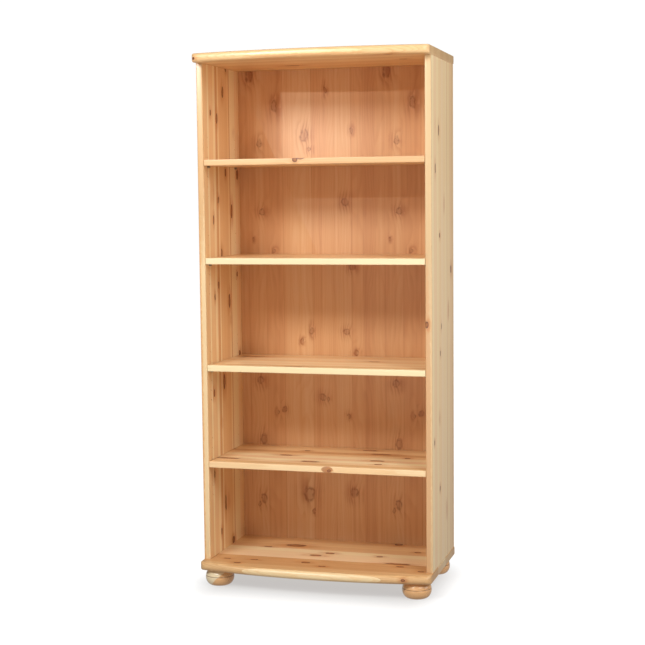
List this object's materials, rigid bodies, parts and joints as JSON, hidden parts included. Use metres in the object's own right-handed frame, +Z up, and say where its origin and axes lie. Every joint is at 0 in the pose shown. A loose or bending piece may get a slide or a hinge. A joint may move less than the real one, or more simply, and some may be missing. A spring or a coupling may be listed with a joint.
{
  "type": "bookcase with adjustable shelves",
  "caption": "Tall free-standing pine bookcase with a bowed top and base, bun feet, a printed back panel and pin-supported shelves that move up and down.",
  "frame": {"origin": "on the floor under the middle of the whole bookcase", "axes": "+X to the right seen from the front, +Y to the wall behind, +Z up"},
  "size_m": [0.778, 0.447, 1.74],
  "materials": {
    "pine": "clear satin lacquer over knotty pine",
    "pine_foot": "clear gloss lacquer over turned pine",
    "printed_board": "printed pine-pattern hardboard",
    "beech": "raw beech",
    "zinc_steel": "bright zinc plate",
    "cap_plastic": "pine-coloured moulded cap"
  },
  "bodies": {
    "carcass": {"side_panel_left": "pine", "side_panel_right": "pine", "top_board": "pine", "base_board": "pine", "back_panel": "printed_board", "foot_front_left": "pine_foot", "foot_bolt_front_left": "zinc_steel", "foot_rear_left": "pine_foot", "foot_bolt_rear_left": "zinc_steel", "foot_front_right": "pine_foot", "foot_bolt_front_right": "zinc_steel", "foot_rear_right": "pine_foot", "foot_bolt_rear_right": "zinc_steel", "top_screw_front_left": "zinc_steel", "top_dowel_front_left": "beech", "top_screw_rear_left": "zinc_steel", "top_dowel_rear_left": "beech", "top_screw_front_right": "zinc_steel", "top_dowel_front_right": "beech", "top_screw_rear_right": "zinc_steel", "top_dowel_rear_right": "beech", "base_screw_front_left": "zinc_steel", "base_dowel_front_left": "beech", "base_screw_rear_left": "zinc_steel", "base_dowel_rear_left": "beech", "base_screw_front_right": "zinc_steel", "base_dowel_front_right": "beech", "base_screw_rear_right": "zinc_steel", "base_dowel_rear_right": "beech", "cover_cap_front_left": "cap_plastic", "cover_cap_rear_left": "cap_plastic", "cover_cap_front_right": "cap_plastic", "cover_cap_rear_right": "cap_plastic"},
    "shelf_1": {"shelf_1": "pine", "shelf_1_pin_front_left": "zinc_steel", "shelf_1_pin_rear_left": "zinc_steel", "shelf_1_pin_front_right": "zinc_steel", "shelf_1_pin_rear_right": "zinc_steel"},
    "shelf_2": {"shelf_2": "pine", "shelf_2_pin_front_left": "zinc_steel", "shelf_2_pin_rear_left": "zinc_steel", "shelf_2_pin_front_right": "zinc_steel", "shelf_2_pin_rear_right": "zinc_steel"},
    "shelf_3": {"shelf_3": "pine", "shelf_3_pin_front_left": "zinc_steel", "shelf_3_pin_rear_left": "zinc_steel", "shelf_3_pin_front_right": "zinc_steel", "shelf_3_pin_rear_right": "zinc_steel"},
    "shelf_4": {"shelf_4": "pine", "shelf_4_pin_front_left": "zinc_steel", "shelf_4_pin_rear_left": "zinc_steel", "shelf_4_pin_front_right": "zinc_steel", "shelf_4_pin_rear_right": "zinc_steel"}
  },
  "joints": [
    {"name": "shelf_1_height", "type": "slide", "parent": "carcass", "child": "shelf_1", "axis": [0, 0, 1], "range_m": [-0.096, 0.096]},
    {"name": "shelf_2_height", "type": "slide", "parent": "carcass", "child": "shelf_2", "axis": [0, 0, 1], "range_m": [-0.096, 0.096]},
    {"name": "shelf_3_height", "type": "slide", "parent": "carcass", "child": "shelf_3", "axis": [0, 0, 1], "range_m": [-0.096, 0.096]},
    {"name": "shelf_4_height", "type": "slide", "parent": "carcass", "child": "shelf_4", "axis": [0, 0, 1], "range_m": [-0.096, 0.096]}
  ]
}
